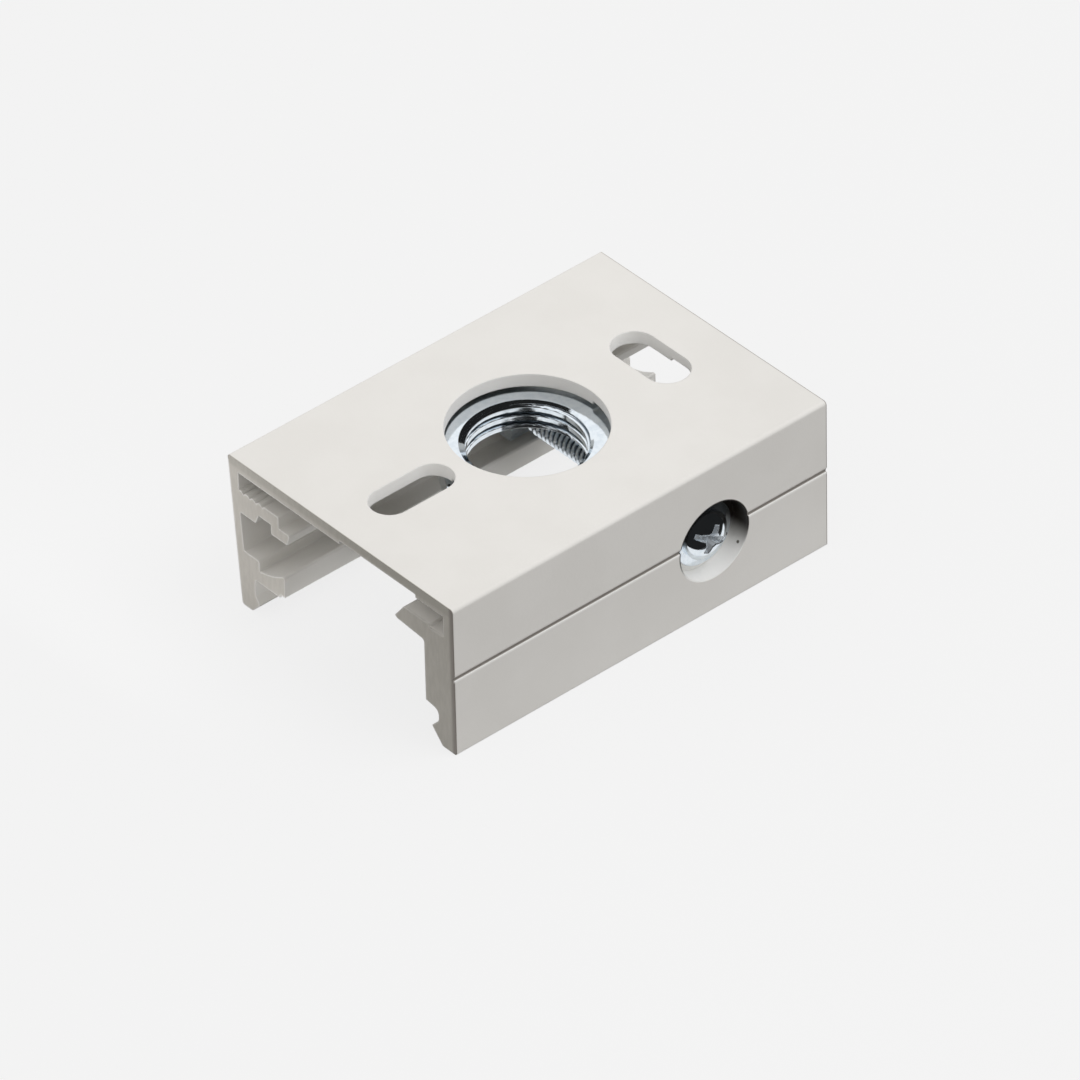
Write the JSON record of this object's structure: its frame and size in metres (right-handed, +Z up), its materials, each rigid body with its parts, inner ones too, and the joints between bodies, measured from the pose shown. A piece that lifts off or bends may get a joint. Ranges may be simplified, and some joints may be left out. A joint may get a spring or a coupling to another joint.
{
  "type": "track light adapter",
  "caption": "Extruded clamp bracket that grips a lighting track from above, with a threaded hex nut under its top hole, mounting slots and a cross screw that tightens its legs.",
  "frame": {"origin": "where the centre hole's axis meets the bracket's top face", "axes": "+X along the extrusion, away from the end that shows the lengthwise slot; +Y to the far leg, which holds the nut plate; +Z up out of the top face"},
  "size_m": [0.06, 0.0414, 0.0221],
  "materials": {
    "coated_aluminium": "light warm grey powder coat, satin",
    "zinc_nut": "bright zinc plating, slightly blue",
    "zinc_screw": "bright zinc plating, slightly blue",
    "zinc_plate": "zinc plated"
  },
  "bodies": {
    "bracket": {"bracket": "coated_aluminium", "hex_nut": "zinc_nut", "clamp_nut": "zinc_plate"},
    "washer": {"screw_washer": "zinc_screw"},
    "screw": {"clamp_screw": "zinc_screw"}
  },
  "joints": [
    {"name": "screw_travel", "type": "slide", "parent": "bracket", "child": "washer", "axis": [0, -1, 0], "range_m": [0, 0.0032]},
    {"name": "screw_turn", "type": "hinge", "parent": "washer", "child": "screw", "pos_m": [0.0113, -0.0211, -0.0116], "axis": [0, -1, 0], "range_deg": [0, 1441]}
  ],
  "couplings": [
    {"joint": "screw_turn", "follows": "screw_travel", "rad_per_m": 7854}
  ]
}
